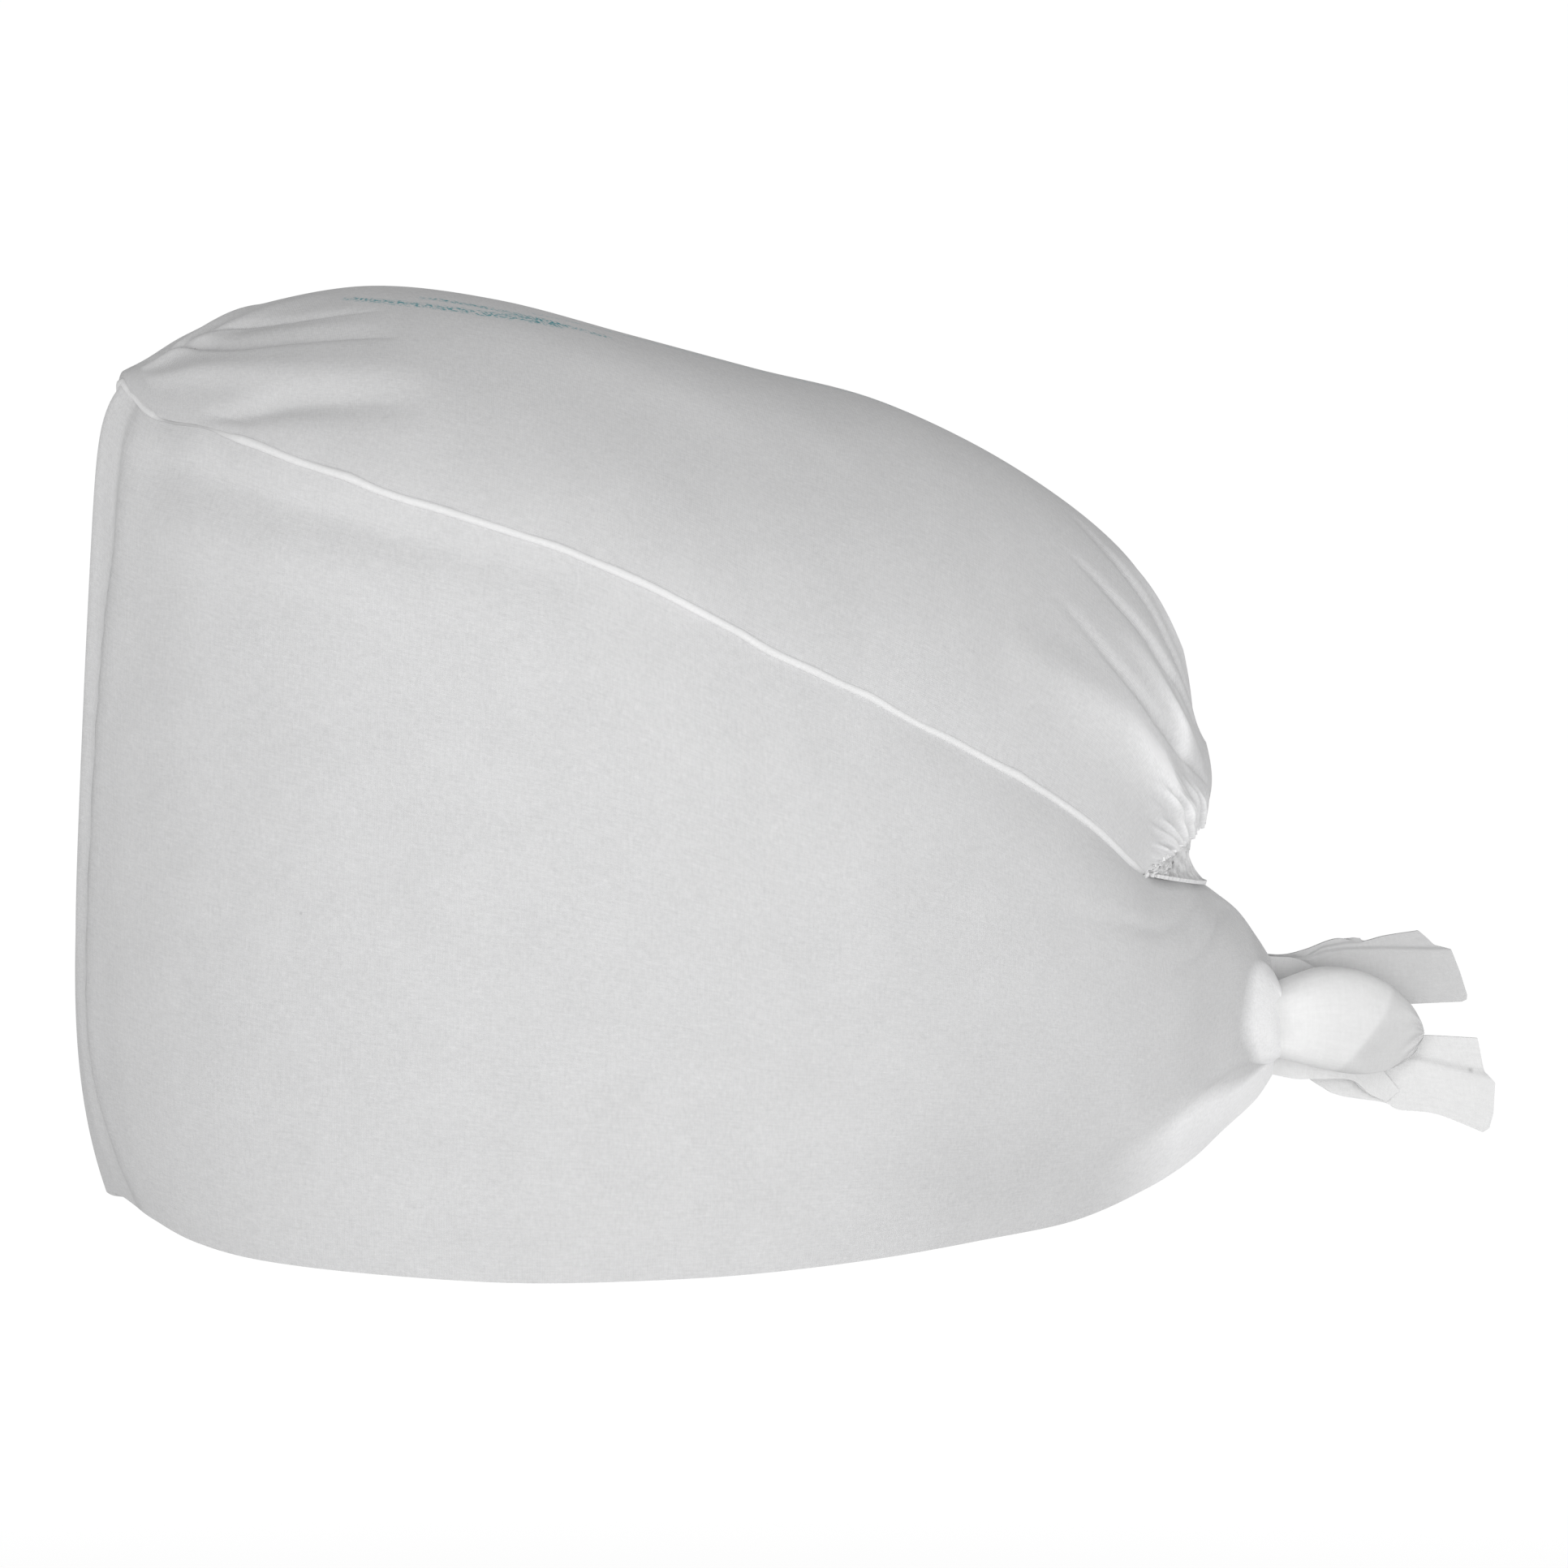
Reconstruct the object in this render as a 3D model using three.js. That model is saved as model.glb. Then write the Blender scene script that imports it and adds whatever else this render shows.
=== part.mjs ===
// A tie-back scrub cap of pale cotton in its worn form, in millimetres, +Z up.
// The brow is at -X, the knot at the nape is at +X, and the wearer's left side is at -Y.
// The origin is on the mirror plane, level with the lowest point of the rim.
import * as THREE from 'three';

// Driving dimensions.
const capLength = 225; // brow to the nape, where the band's ends turn in to the knot
const capBreadth = 158; // across the ears, middle of the cloth
const capHeight = 176; // the unit of the tables' heights; the crown's top is just below it
const clothThickness = 1.2; // hemmed cotton
const seamRollDiameter = 1.6; // turned allowance that stands up along the crown seam
const clearance = 0.3; // air between neighbouring pieces
const knotLength = 29; // one bight of the knot, along the tie
const knotHeight = 20.5;
const knotDepth = 13.5; // one bight, from the middle of the knot outwards
const tapeThickness = 1.8; // the tie is folded double
const upperTailReach = 39.2; // free end beyond the neck of the knot
const lowerTailReach = 42;
const tailWidth = 14.5; // tie tape at its widest

// How finely the cloth is faceted.
const stepsPerStation = 2;
const bandRows = 12;
const crownSteps = 34;
const elasticSteps = 68;
const elasticRows = 4;
const rollSides = 8;

const halfBreadth = capBreadth / 2;

// Stations of the side band from the middle of the brow back to the knot. "along" is a share of
// the cap's length, "aside" of its half breadth and "up" of its height. The first three numbers
// lie on the crown seam and the last three on the rim. The waist is where the cloth between them
// swells to, half way down.
const bandStations = [
  // seam along, aside, up; waist along, aside; rim along, aside, up
  [-0.4, 0, 0.897, -0.431, 0, -0.4036, 0, 0.051],
  [-0.3964, 0.076, 0.886, -0.428, 0.109, -0.4013, 0.127, 0.047],
  [-0.382, 0.203, 0.864, -0.415, 0.267, -0.3973, 0.278, 0.041],
  [-0.353, 0.392, 0.858, -0.3845, 0.463, -0.376, 0.456, 0.026],
  [-0.302, 0.576, 0.832, -0.3325, 0.651, -0.3356, 0.633, 0.015],
  [-0.231, 0.722, 0.798, -0.254, 0.815, -0.2578, 0.804, 0.007],
  [-0.132, 0.835, 0.757, -0.148, 0.933, -0.1511, 0.922, 0],
  [-0.036, 0.899, 0.705, -0.0445, 0.99, -0.0489, 0.972, 0.001],
  [0.062, 0.911, 0.638, 0.0547, 1, 0.044, 0.975, 0.005],
  [0.16, 0.873, 0.578, 0.159, 0.962, 0.147, 0.93, 0.014],
  [0.256, 0.775, 0.514, 0.262, 0.847, 0.247, 0.8, 0.023],
  [0.342, 0.643, 0.45, 0.355, 0.699, 0.338, 0.636, 0.031],
  [0.4116, 0.468, 0.384, 0.433, 0.537, 0.413, 0.47, 0.052],
  [0.458, 0.324, 0.369, 0.478, 0.405, 0.464, 0.342, 0.074],
  [0.492, 0.153, 0.3585, 0.514, 0.297, 0.504, 0.228, 0.1],
  [0.533, 0.089, 0.32, 0.544, 0.175, 0.541, 0.133, 0.126],
  [0.563, 0.051, 0.27, 0.565, 0.051, 0.566, 0.051, 0.152],
];
// How the cloth swells between its edges. The greater the fullness, the squarer the bulge. At the
// brow it stands out from just below the seam and is fullest low down, by "browTilt".
const bulge = { sideFullness: 3, browTopFullness: 16, browFootFullness: 3.4, browTilt: 0.44, browReach: 7 };
const seamStations = 14; // the crown seam ends here; the band's top edge runs on free to the knot

// Sections of the crown, brow to nape. Each starts on the seam at a band station and rises over
// the ridge. "lean" draws the flanks in from a plain ellipse, as cloth lies on the side of a head.
// The last section is the top edge of the elastic casing.
const crownSections = [
  // station, ridge along, ridge up, lean
  [1, -0.398, 0.907, 0.15],
  [2, -0.377, 0.92, 0.25],
  [3, -0.338, 0.947, 0.26],
  [4, -0.284, 0.9735, 0.24],
  [5, -0.191, 0.991, 0.21],
  [6, -0.089, 0.975, 0.2],
  [7, 0.018, 0.938, 0.2],
  [8, 0.1244, 0.9005, 0.2],
  [9, 0.231, 0.864, 0.2],
  [10, 0.342, 0.794, 0.23],
  [11, 0.433, 0.705, 0.28],
  [11.4, 0.48, 0.607, 0.33],
  [11.7, 0.5, 0.524, 0.36],
  [11.88, 0.509, 0.47, 0.38],
  [12, 0.503, 0.428, 0.4],
];

// The elastic casing closes the back of the crown. It starts where the last section does, and its
// lower edge runs level with the seam.
const casing = { station: 12, backAlong: 0.504, backUp: 0.355, lean: 0.4, reach: 0.93 };

// Folds of the crown. "from" and "to" count its sections. "path" says where the crease runs at its
// start, middle and end: -1 is the near seam, 0 the ridge and 1 the far seam. Width is in the same
// units, and "lift" is a share of the cap's height: a groove is less than nothing, a ridge more.
const crownFolds = [
  { name: 'brow pleat near 1', from: 2.1, to: 5, path: [-0.1, -0.26, -0.29], width: 0.05, lift: -0.008 },
  { name: 'brow pleat near 2', from: 1.5, to: 5.3, path: [-0.12, -0.41, -0.44], width: 0.07, lift: -0.01 },
  { name: 'brow pleat near 3', from: 2.2, to: 5.3, path: [-1, -0.81, -0.7], width: 0.09, lift: -0.008 },
  { name: 'brow puff, near', from: 1.5, to: 4.8, path: [-0.2, -0.15, -0.03], width: 0.07, lift: 0.01 },
  { name: 'brow puff, near, low', from: 1.6, to: 5.4, path: [-0.5, -0.6, -0.58], width: 0.1, lift: 0.008 },
  { name: 'brow pleat far 1', from: 1.4, to: 4.9, path: [0.1, 0.14, 0.16], width: 0.06, lift: -0.011 },
  { name: 'brow pleat far 2', from: 1.2, to: 5.2, path: [0.3, 0.38, 0.36], width: 0.08, lift: -0.01 },
  { name: 'brow pleat far 3', from: 1.6, to: 5.4, path: [0.72, 0.7, 0.62], width: 0.09, lift: -0.009 },
  { name: 'nape fold near 1', from: 9.9, to: 14.4, path: [-0.53, -0.6, -0.33], width: 0.05, lift: -0.012 },
  { name: 'nape fold near 2', from: 10.2, to: 13.8, path: [-0.36, -0.42, -0.28], width: 0.05, lift: -0.01 },
  { name: 'nape fold near 3', from: 9.9, to: 13.6, path: [-0.06, -0.28, -0.22], width: 0.045, lift: -0.01 },
  { name: 'nape puff, near', from: 9.8, to: 14.8, path: [-0.78, -0.74, -0.6], width: 0.1, lift: 0.014 },
  { name: 'nape ridge, near', from: 10.6, to: 14, path: [-0.48, -0.5, -0.4], width: 0.045, lift: 0.008 },
  { name: 'nape fold far 3', from: 9.9, to: 14, path: [0.1, 0.06, 0.02], width: 0.05, lift: -0.01 },
  { name: 'nape fold far 2', from: 10.2, to: 14.2, path: [0.2, 0.3, 0.26], width: 0.05, lift: -0.011 },
  { name: 'nape fold far 1', from: 10, to: 14.4, path: [0.44, 0.56, 0.46], width: 0.055, lift: -0.012 },
  { name: 'nape puff, far', from: 10, to: 14.8, path: [0.76, 0.74, 0.64], width: 0.1, lift: 0.013 },
];

// Folds of the band, in the same manner. "from" and "to" are stations, less than nothing on the
// far side, and "path" gives shares of the way down from the seam to the rim.
const bandFolds = [
  { name: 'drape below the seam', from: 1, to: 6.6, path: [0.05, 0.045, 0.02], width: 0.035, lift: 0.008 },
  { name: 'hollow below the drape', from: 1.2, to: 6, path: [0.13, 0.125, 0.1], width: 0.04, lift: -0.006 },
  { name: 'puff below the brow', from: -3.6, to: 3.6, path: [0.04, 0.035, 0.04], width: 0.04, lift: 0.012 },
  { name: 'drape, far side', from: -6.4, to: -1.2, path: [0.03, 0.05, 0.06], width: 0.04, lift: 0.007 },
  { name: 'pull to knot, low', from: 10.4, to: 16.4, path: [0.9, 0.69, 0.88], width: 0.06, lift: -0.012 },
  { name: 'pull to knot, high', from: 11.4, to: 15, path: [0.3, 0.08, 0.3], width: 0.06, lift: -0.006 },
  { name: 'pull to far knot', from: -16.4, to: -10.4, path: [0.86, 0.72, 0.9], width: 0.065, lift: -0.011 },
];
const foldHold = 0.05; // the seam and the hem hold the cloth this far in, as a share of the way down
const browCreaseDepth = 0.016; // share of the half breadth
const browCreaseWidth = 0.45; // in stations

const gatherCount = 22; // ruffles round the elastic
const gatherDepth = 0.45; // share of the cloth's thickness
const casingWaist = 0.05; // how far the elastic draws the casing in, share of the half breadth
const casingSkew = 0.035; // the ruffles lean, in turns of the half circle

// The knot's outline from the side, as shares of the knot's length and height, and the tails.
const bightCentreUp = 0.206; // share of the cap's height
const bightLap = 1; // how far a bight laps over the end of the band, in millimetres
const bightTilt = THREE.MathUtils.degToRad(6);
const bightTaper = 0.22; // the bight is narrower where it leaves the band
const upperTail = [
  // along: share of the reach; aside, top and foot: shares of the tail's width
  { along: 0.06, aside: 0, top: 0.8, foot: 0.42 },
  { along: 0.25, aside: 0, top: 0.92, foot: 0.36 },
  { along: 0.5, aside: 0, top: 0.94, foot: 0.24 },
  { along: 0.77, aside: 0.08, top: 1.04, foot: 0.14 },
  { along: 0.93, aside: 0.22, top: 0.8, foot: 0.17 },
  { along: 1, aside: 0.28, top: 0.3, foot: 0.2 },
];
const lowerTail = [
  { along: 0.06, aside: 0, top: 0.08, foot: -0.55 },
  { along: 0.22, aside: 0, top: 0, foot: -0.82 },
  { along: 0.47, aside: 0, top: -0.12, foot: -1.08 },
  { along: 0.72, aside: -0.04, top: -0.25, foot: -1.22 },
  { along: 0.93, aside: -0.2, top: -0.3, foot: -1.4 },
  { along: 1, aside: -0.25, top: -0.8, foot: -1.48 },
];

// Helpers.
const alongCap = (share) => share * capLength;
const asideCap = (share) => share * halfBreadth;
const upCap = (share) => share * capHeight;

// Smooth value through a list of numbers, at a place given in rows (Catmull-Rom).
function smoothValue(values, place) {
  const last = values.length - 1;
  const row = Math.min(Math.max(Math.floor(place), 0), last - 1);
  const f = THREE.MathUtils.clamp(place - row, 0, 1);
  const a = values[row];
  const b = values[row + 1];
  const before = row > 0 ? values[row - 1] : 2 * a - b;
  const after = row < last - 1 ? values[row + 2] : 2 * b - a;
  const slope = 0.5 * (b - before);
  const bend = before - 2.5 * a + 2 * b - 0.5 * after;
  const twist = 1.5 * (a - b) + 0.5 * (after - before);
  return a + f * (slope + f * (bend + f * twist));
}

const bandColumns = [0, 1, 2, 3, 4, 5, 6, 7].map((column) => {
  const rows = bandStations.map((station) => station[column]);
  const odd = column === 1 || column === 4 || column === 6;
  const mirrored = rows.slice(1).reverse().map((value) => (odd ? -value : value));
  return mirrored.concat(rows);
});
const lastStation = bandStations.length - 1;

// A value of the band table at a signed station: near side above nothing, far side below.
function bandValue(column, station) {
  return smoothValue(bandColumns[column], lastStation + station);
}

function seamPoint(station) {
  return new THREE.Vector3(
    alongCap(bandValue(0, station)),
    -asideCap(bandValue(1, station)),
    upCap(bandValue(2, station)),
  );
}

function rimPoint(station) {
  return new THREE.Vector3(
    alongCap(bandValue(5, station)),
    -asideCap(bandValue(6, station)),
    upCap(bandValue(7, station)),
  );
}

// Share of the bulge at a share of the way down: tucked in at both edges.
function bulgeShape(station, down) {
  const brow = 1 - THREE.MathUtils.smoothstep(Math.abs(station), 0, bulge.browReach);
  const half = 2 * down - 1;
  const browFullness = half < 0 ? bulge.browTopFullness : bulge.browFootFullness;
  const fullness = THREE.MathUtils.lerp(bulge.sideFullness, browFullness, brow);
  return (1 - Math.abs(half) ** fullness) * (1 + bulge.browTilt * brow * half);
}

// One fold's lift at a place along and across it: a soft bell that fades at both ends.
function foldLift(fold, along, across) {
  const share = (along - fold.from) / (fold.to - fold.from);
  if (share <= 0 || share >= 1) {
    return 0;
  }
  const [start, halfway, end] = fold.path;
  const middle = smoothValue([start, halfway, end], 2 * share);
  const off = (across - middle) / fold.width;
  return fold.lift * Math.sin(Math.PI * share) * Math.exp(-off * off);
}

// A closed wall of cloth. middleAt(u, v) is the smooth middle surface for u and v from 0 to 1,
// liftAt(u, v) raises it along its own normal, and facing turns the normal outwards.
function clothWall({ columns, rows, thickness, middleAt, liftAt, facing }) {
  const positions = [];
  const indices = [];
  const nudge = 1e-3;
  const skins = [0.5 * thickness, -0.5 * thickness];
  for (const offset of skins) {
    for (let i = 0; i <= columns; i++) {
      for (let j = 0; j <= rows; j++) {
        const u = i / columns;
        const v = j / rows;
        const alongU = middleAt(Math.min(u + nudge, 1), v).sub(middleAt(Math.max(u - nudge, 0), v));
        const alongV = middleAt(u, Math.min(v + nudge, 1)).sub(middleAt(u, Math.max(v - nudge, 0)));
        const normal = alongU.cross(alongV).normalize().multiplyScalar(facing);
        const point = middleAt(u, v).addScaledVector(normal, liftAt(u, v) + offset);
        positions.push(point.x, point.y, point.z);
      }
    }
  }
  const skinSize = (columns + 1) * (rows + 1);
  const at = (skin, i, j) => skin * skinSize + i * (rows + 1) + j;
  const quad = (a, b, c, d) => {
    indices.push(a, b, c, a, c, d);
  };
  for (let i = 0; i < columns; i++) {
    for (let j = 0; j < rows; j++) {
      quad(at(0, i, j), at(0, i + 1, j), at(0, i + 1, j + 1), at(0, i, j + 1));
      quad(at(1, i, j), at(1, i, j + 1), at(1, i + 1, j + 1), at(1, i + 1, j));
    }
  }
  for (let i = 0; i < columns; i++) {
    quad(at(0, i, 0), at(1, i, 0), at(1, i + 1, 0), at(0, i + 1, 0));
    quad(at(0, i + 1, rows), at(1, i + 1, rows), at(1, i, rows), at(0, i, rows));
  }
  for (let j = 0; j < rows; j++) {
    quad(at(0, 0, j + 1), at(1, 0, j + 1), at(1, 0, j), at(0, 0, j));
    quad(at(0, columns, j), at(1, columns, j), at(1, columns, j + 1), at(0, columns, j + 1));
  }
  if (facing < 0) {
    for (let k = 0; k < indices.length; k += 3) {
      [indices[k], indices[k + 1]] = [indices[k + 1], indices[k]];
    }
  }
  const geometry = new THREE.BufferGeometry();
  geometry.setAttribute('position', new THREE.Float32BufferAttribute(positions, 3));
  geometry.setIndex(indices);
  geometry.computeVertexNormals();
  return geometry;
}

// The panels stop short of the seam's middle line by this much, a little more than its roll.
const edgeGap = seamRollDiameter / 2 + 1.5 * clearance;

// The side band runs from the far end at the knot round the brow to the near end.
function sideBand() {
  const stationOf = (u) => (2 * u - 1) * lastStation;
  const middleAt = (u, v) => {
    const station = stationOf(u);
    const top = seamPoint(station);
    const foot = rimPoint(station);
    const down = foot.clone().sub(top);
    top.addScaledVector(down, edgeGap / down.length());
    const swell = new THREE.Vector3(
      alongCap(bandValue(3, station)) - (top.x + foot.x) / 2,
      -asideCap(bandValue(4, station)) - (top.y + foot.y) / 2,
      0,
    );
    return top.lerp(foot, v).addScaledVector(swell, bulgeShape(station, v));
  };
  const liftAt = (u, v) => {
    const station = stationOf(u);
    const crease = Math.exp(-((station / browCreaseWidth) ** 2)) * Math.sin(Math.PI * v) ** 0.5;
    const folds = bandFolds.reduce((sum, fold) => sum + foldLift(fold, station, v), 0);
    const held = Math.min(v / foldHold, (1 - v) / foldHold, 1);
    return held * upCap(folds) - asideCap(browCreaseDepth) * crease;
  };
  return clothWall({
    columns: 2 * lastStation * stepsPerStation,
    rows: bandRows,
    thickness: clothThickness,
    middleAt,
    liftAt,
    facing: 1,
  });
}

// A half round section of the crown: a quarter of an ellipse up each flank, meeting on the ridge.
function sectionPoint(flank, ridge, lean, across) {
  const turn = ((1 + across) * Math.PI) / 2;
  const centre = new THREE.Vector3(flank.x, 0, flank.z);
  const aside = Math.cos(turn) * (1 - lean * Math.sin(turn));
  const point = centre.clone().addScaledVector(ridge.clone().sub(centre), Math.sin(turn));
  point.y = flank.y * aside;
  return point;
}

// Every row of the crown as { flank, ridge, lean }, from the brow to the top of the casing.
function crownRows() {
  const rows = crownSections.map(([station, ridgeAlong, ridgeUp, lean]) => {
    const flank = seamPoint(station);
    const ridge = new THREE.Vector3(alongCap(ridgeAlong), 0, upCap(ridgeUp));
    const seamway = seamPoint(station + 0.05).sub(seamPoint(station - 0.05)).normalize();
    const rise = new THREE.Vector3(ridge.x - flank.x, -0.25 * flank.y, ridge.z - flank.z).normalize();
    rise.addScaledVector(seamway, -rise.dot(seamway)).normalize();
    flank.addScaledVector(rise, edgeGap);
    return { flank, ridge, lean };
  });
  return rows;
}

function crownSurface() {
  const rows = crownRows();
  const columnOf = (pick) => rows.map(pick);
  const flankX = columnOf((row) => row.flank.x);
  const flankY = columnOf((row) => row.flank.y);
  const flankZ = columnOf((row) => row.flank.z);
  const ridgeX = columnOf((row) => row.ridge.x);
  const ridgeZ = columnOf((row) => row.ridge.z);
  const leans = columnOf((row) => row.lean);
  const lastRow = rows.length - 1;
  const at = (u, v) => {
    const place = u * lastRow;
    const flank = new THREE.Vector3(
      smoothValue(flankX, place),
      smoothValue(flankY, place),
      smoothValue(flankZ, place),
    );
    const ridge = new THREE.Vector3(smoothValue(ridgeX, place), 0, smoothValue(ridgeZ, place));
    return sectionPoint(flank, ridge, smoothValue(leans, place), 2 * v - 1);
  };
  return { at, lastRow };
}

function crown() {
  const surface = crownSurface();
  return clothWall({
    columns: surface.lastRow * stepsPerStation,
    rows: crownSteps,
    thickness: clothThickness,
    middleAt: surface.at,
    liftAt: (u, v) => {
      const station = 1 + u * surface.lastRow;
      const folds = crownFolds.reduce((sum, fold) => sum + foldLift(fold, station, 2 * v - 1), 0);
      return upCap(folds) * Math.min(v / foldHold, (1 - v) / foldHold, 1);
    },
    facing: 1,
  });
}

// The turned allowance of the seam, a round roll along the band's top edge.
function crownSeam() {
  const points = [];
  const steps = seamStations * 2;
  for (let i = -steps; i <= steps; i++) {
    points.push(seamPoint((i / steps) * seamStations));
  }
  const path = new THREE.CatmullRomCurve3(points);
  const outline = new THREE.Shape();
  for (let side = 0; side < rollSides; side++) {
    const turn = (2 * Math.PI * side) / rollSides;
    const x = 0.5 * seamRollDiameter * Math.cos(turn);
    const y = 0.5 * seamRollDiameter * Math.sin(turn);
    if (side === 0) {
      outline.moveTo(x, y);
    } else {
      outline.lineTo(x, y);
    }
  }
  outline.closePath();
  return new THREE.ExtrudeGeometry(outline, { steps: steps * 2, extrudePath: path, bevelEnabled: false });
}

// The casing at the back, drawn in along its middle and ruffled by the elastic inside it.
function elasticGather() {
  const upperRow = crownRows().pop();
  const lift = new THREE.Vector3(0, 0, edgeGap + clearance);
  const lowerFlank = seamPoint(casing.station).add(lift);
  const lowerBack = new THREE.Vector3(alongCap(casing.backAlong), 0, upCap(casing.backUp)).add(lift);
  const middleAt = (u, v) => {
    const across = (2 * u - 1) * casing.reach;
    const top = sectionPoint(upperRow.flank, upperRow.ridge, upperRow.lean, across);
    top.z -= 2 * clearance;
    return top.lerp(sectionPoint(lowerFlank, lowerBack, casing.lean, across), v);
  };
  return clothWall({
    columns: elasticSteps,
    rows: elasticRows,
    thickness: clothThickness,
    middleAt,
    liftAt: (u, v) => {
      const ruffle = Math.cos(2 * Math.PI * gatherCount * (u + casingSkew * v));
      const waist = Math.sin(Math.PI * v) * Math.sin(Math.PI * u);
      return gatherDepth * clothThickness * ruffle * Math.sin(Math.PI * v) - asideCap(casingWaist) * waist;
    },
    facing: -1,
  });
}

// Where the two ends of the band meet the knot.
const knotNeck = alongCap(bandStations[lastStation][5]) + clothThickness / 2;

// One bight of the knot: an egg with its small end at the band, flat against the tails inside.
function knotBight(side) {
  const geometry = new THREE.SphereGeometry(1, 26, 14);
  const position = geometry.attributes.position;
  const inner = 0.5 * tapeThickness + clearance;
  const turn = new THREE.Matrix4().makeRotationY(bightTilt);
  for (let i = 0; i < position.count; i++) {
    const x = position.getX(i);
    const taper = 1 + bightTaper * x;
    const point = new THREE.Vector3(
      (x * knotLength) / 2,
      0,
      (position.getZ(i) * taper * knotHeight) / 2,
    ).applyMatrix4(turn);
    const depth = 0.5 + 0.5 * position.getY(i);
    position.setXYZ(
      i,
      knotNeck + clearance - bightLap + knotLength / 2 + point.x,
      side * (inner + depth * (knotDepth - inner)),
      upCap(bightCentreUp) + point.z,
    );
  }
  geometry.computeVertexNormals();
  if (side > 0) {
    return geometry;
  }
  const index = geometry.index;
  for (let k = 0; k < index.count; k += 3) {
    const first = index.getX(k);
    index.setX(k, index.getX(k + 1));
    index.setX(k + 1, first);
  }
  geometry.computeVertexNormals();
  return geometry;
}

// A free end of the tie: flat doubled tape standing on edge, cut across at its tip.
function tieTail(rows, reach) {
  const columnOf = (name, size) => rows.map((row) => row[name] * size);
  const along = columnOf('along', reach);
  const aside = columnOf('aside', tailWidth);
  const top = columnOf('top', tailWidth);
  const foot = columnOf('foot', tailWidth);
  const middleAt = (u, v) => {
    const place = u * (rows.length - 1);
    const up = THREE.MathUtils.lerp(smoothValue(top, place), smoothValue(foot, place), v);
    return new THREE.Vector3(
      knotNeck + smoothValue(along, place),
      smoothValue(aside, place),
      upCap(bightCentreUp) + up,
    );
  };
  return clothWall({
    columns: 4 * (rows.length - 1),
    rows: 4,
    thickness: tapeThickness,
    middleAt,
    liftAt: () => 0,
    facing: 1,
  });
}

// The assembly: every piece is a named mesh with a cotton of its own.
const cap = new THREE.Group();
function addPiece(name, geometry, colour) {
  const material = new THREE.MeshStandardMaterial({ color: colour, roughness: 0.9, metalness: 0 });
  const mesh = new THREE.Mesh(geometry, material);
  mesh.name = name;
  cap.add(mesh);
}

addPiece('side_band', sideBand(), 0xd4d4d4);
addPiece('crown', crown(), 0xcbcbcc);
addPiece('crown_seam', crownSeam(), 0xe6e6e6);
addPiece('elastic_gather', elasticGather(), 0xd0d0d1);
addPiece('knot_bight_near', knotBight(-1), 0xececec);
addPiece('knot_bight_far', knotBight(1), 0xe2e2e2);
addPiece('tie_tail_upper', tieTail(upperTail, upperTailReach), 0xcfcfcf);
addPiece('tie_tail_lower', tieTail(lowerTail, lowerTailReach), 0xe4e4e4);

export default cap;
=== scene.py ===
import math

import bpy
import numpy as np
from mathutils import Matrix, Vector


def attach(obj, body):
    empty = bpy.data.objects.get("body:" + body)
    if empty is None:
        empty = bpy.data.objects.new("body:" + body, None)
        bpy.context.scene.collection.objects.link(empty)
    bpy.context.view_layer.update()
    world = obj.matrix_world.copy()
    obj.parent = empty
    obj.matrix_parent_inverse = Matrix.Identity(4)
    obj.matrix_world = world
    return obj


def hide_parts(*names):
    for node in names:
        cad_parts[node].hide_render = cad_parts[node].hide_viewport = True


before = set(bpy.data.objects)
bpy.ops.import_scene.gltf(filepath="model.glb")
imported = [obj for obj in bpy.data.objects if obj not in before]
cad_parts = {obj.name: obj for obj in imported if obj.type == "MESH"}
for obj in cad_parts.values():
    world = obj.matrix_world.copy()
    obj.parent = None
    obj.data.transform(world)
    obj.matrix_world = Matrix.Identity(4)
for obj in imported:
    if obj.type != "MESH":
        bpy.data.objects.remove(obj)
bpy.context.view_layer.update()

# Camera
# It looks at the wearer's left side, turned a little towards the brow and a little from above,
# through a long lens, as the photograph does.
photo_yaw = math.radians(14)
photo_rise = math.radians(5)
photo_distance = 2.5
photo_target = Vector((0.034, 0, 0.082))
photo_breadth = 0.2898
film_breadth = 36
away = Vector((
    -math.sin(photo_yaw) * math.cos(photo_rise),
    -math.cos(photo_yaw) * math.cos(photo_rise),
    math.sin(photo_rise),
))
camera_data = bpy.data.cameras.new("photo_camera")
camera_data.sensor_width = film_breadth
camera_data.lens = film_breadth * photo_distance / photo_breadth
camera = bpy.data.objects.new("photo_camera", camera_data)
bpy.context.scene.collection.objects.link(camera)
camera.location = photo_target + away * photo_distance
camera.rotation_mode = "QUATERNION"
camera.rotation_quaternion = (-away).to_track_quat("-Z", "Y")
bpy.context.scene.camera = camera

# Light and floor
# A pale room gives even light from all round, a broad soft light hangs beside the camera, and a low one
# stands at the knot's side. The floor is plain and pale, well below the cap, and glows as painted light,
# more the further it lies from the cap, so its dimmer middle under the cap is a painted shadow (distances
# in metres).
room_strength = 0.46
backdrop_strength = 1.02
bpy.context.scene.view_settings.view_transform = "Standard"
room = bpy.data.worlds.new("pale_room")
bpy.context.scene.world = room
room.use_nodes = True
room_light = room.node_tree.nodes["Background"]
room_light.inputs["Color"].default_value = (1, 1, 1, 1)
room_light.inputs["Strength"].default_value = room_strength
room_backdrop = room.node_tree.nodes.new("ShaderNodeBackground")
room_backdrop.inputs["Color"].default_value = (1, 1, 1, 1)
room_backdrop.inputs["Strength"].default_value = backdrop_strength
room_rays = room.node_tree.nodes.new("ShaderNodeLightPath")
room_mix = room.node_tree.nodes.new("ShaderNodeMixShader")
room.node_tree.links.new(room_rays.outputs["Is Camera Ray"], room_mix.inputs[0])
room.node_tree.links.new(room_light.outputs[0], room_mix.inputs[1])
room.node_tree.links.new(room_backdrop.outputs[0], room_mix.inputs[2])
room.node_tree.links.new(room_mix.outputs[0], room.node_tree.nodes["World Output"].inputs[0])

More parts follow.
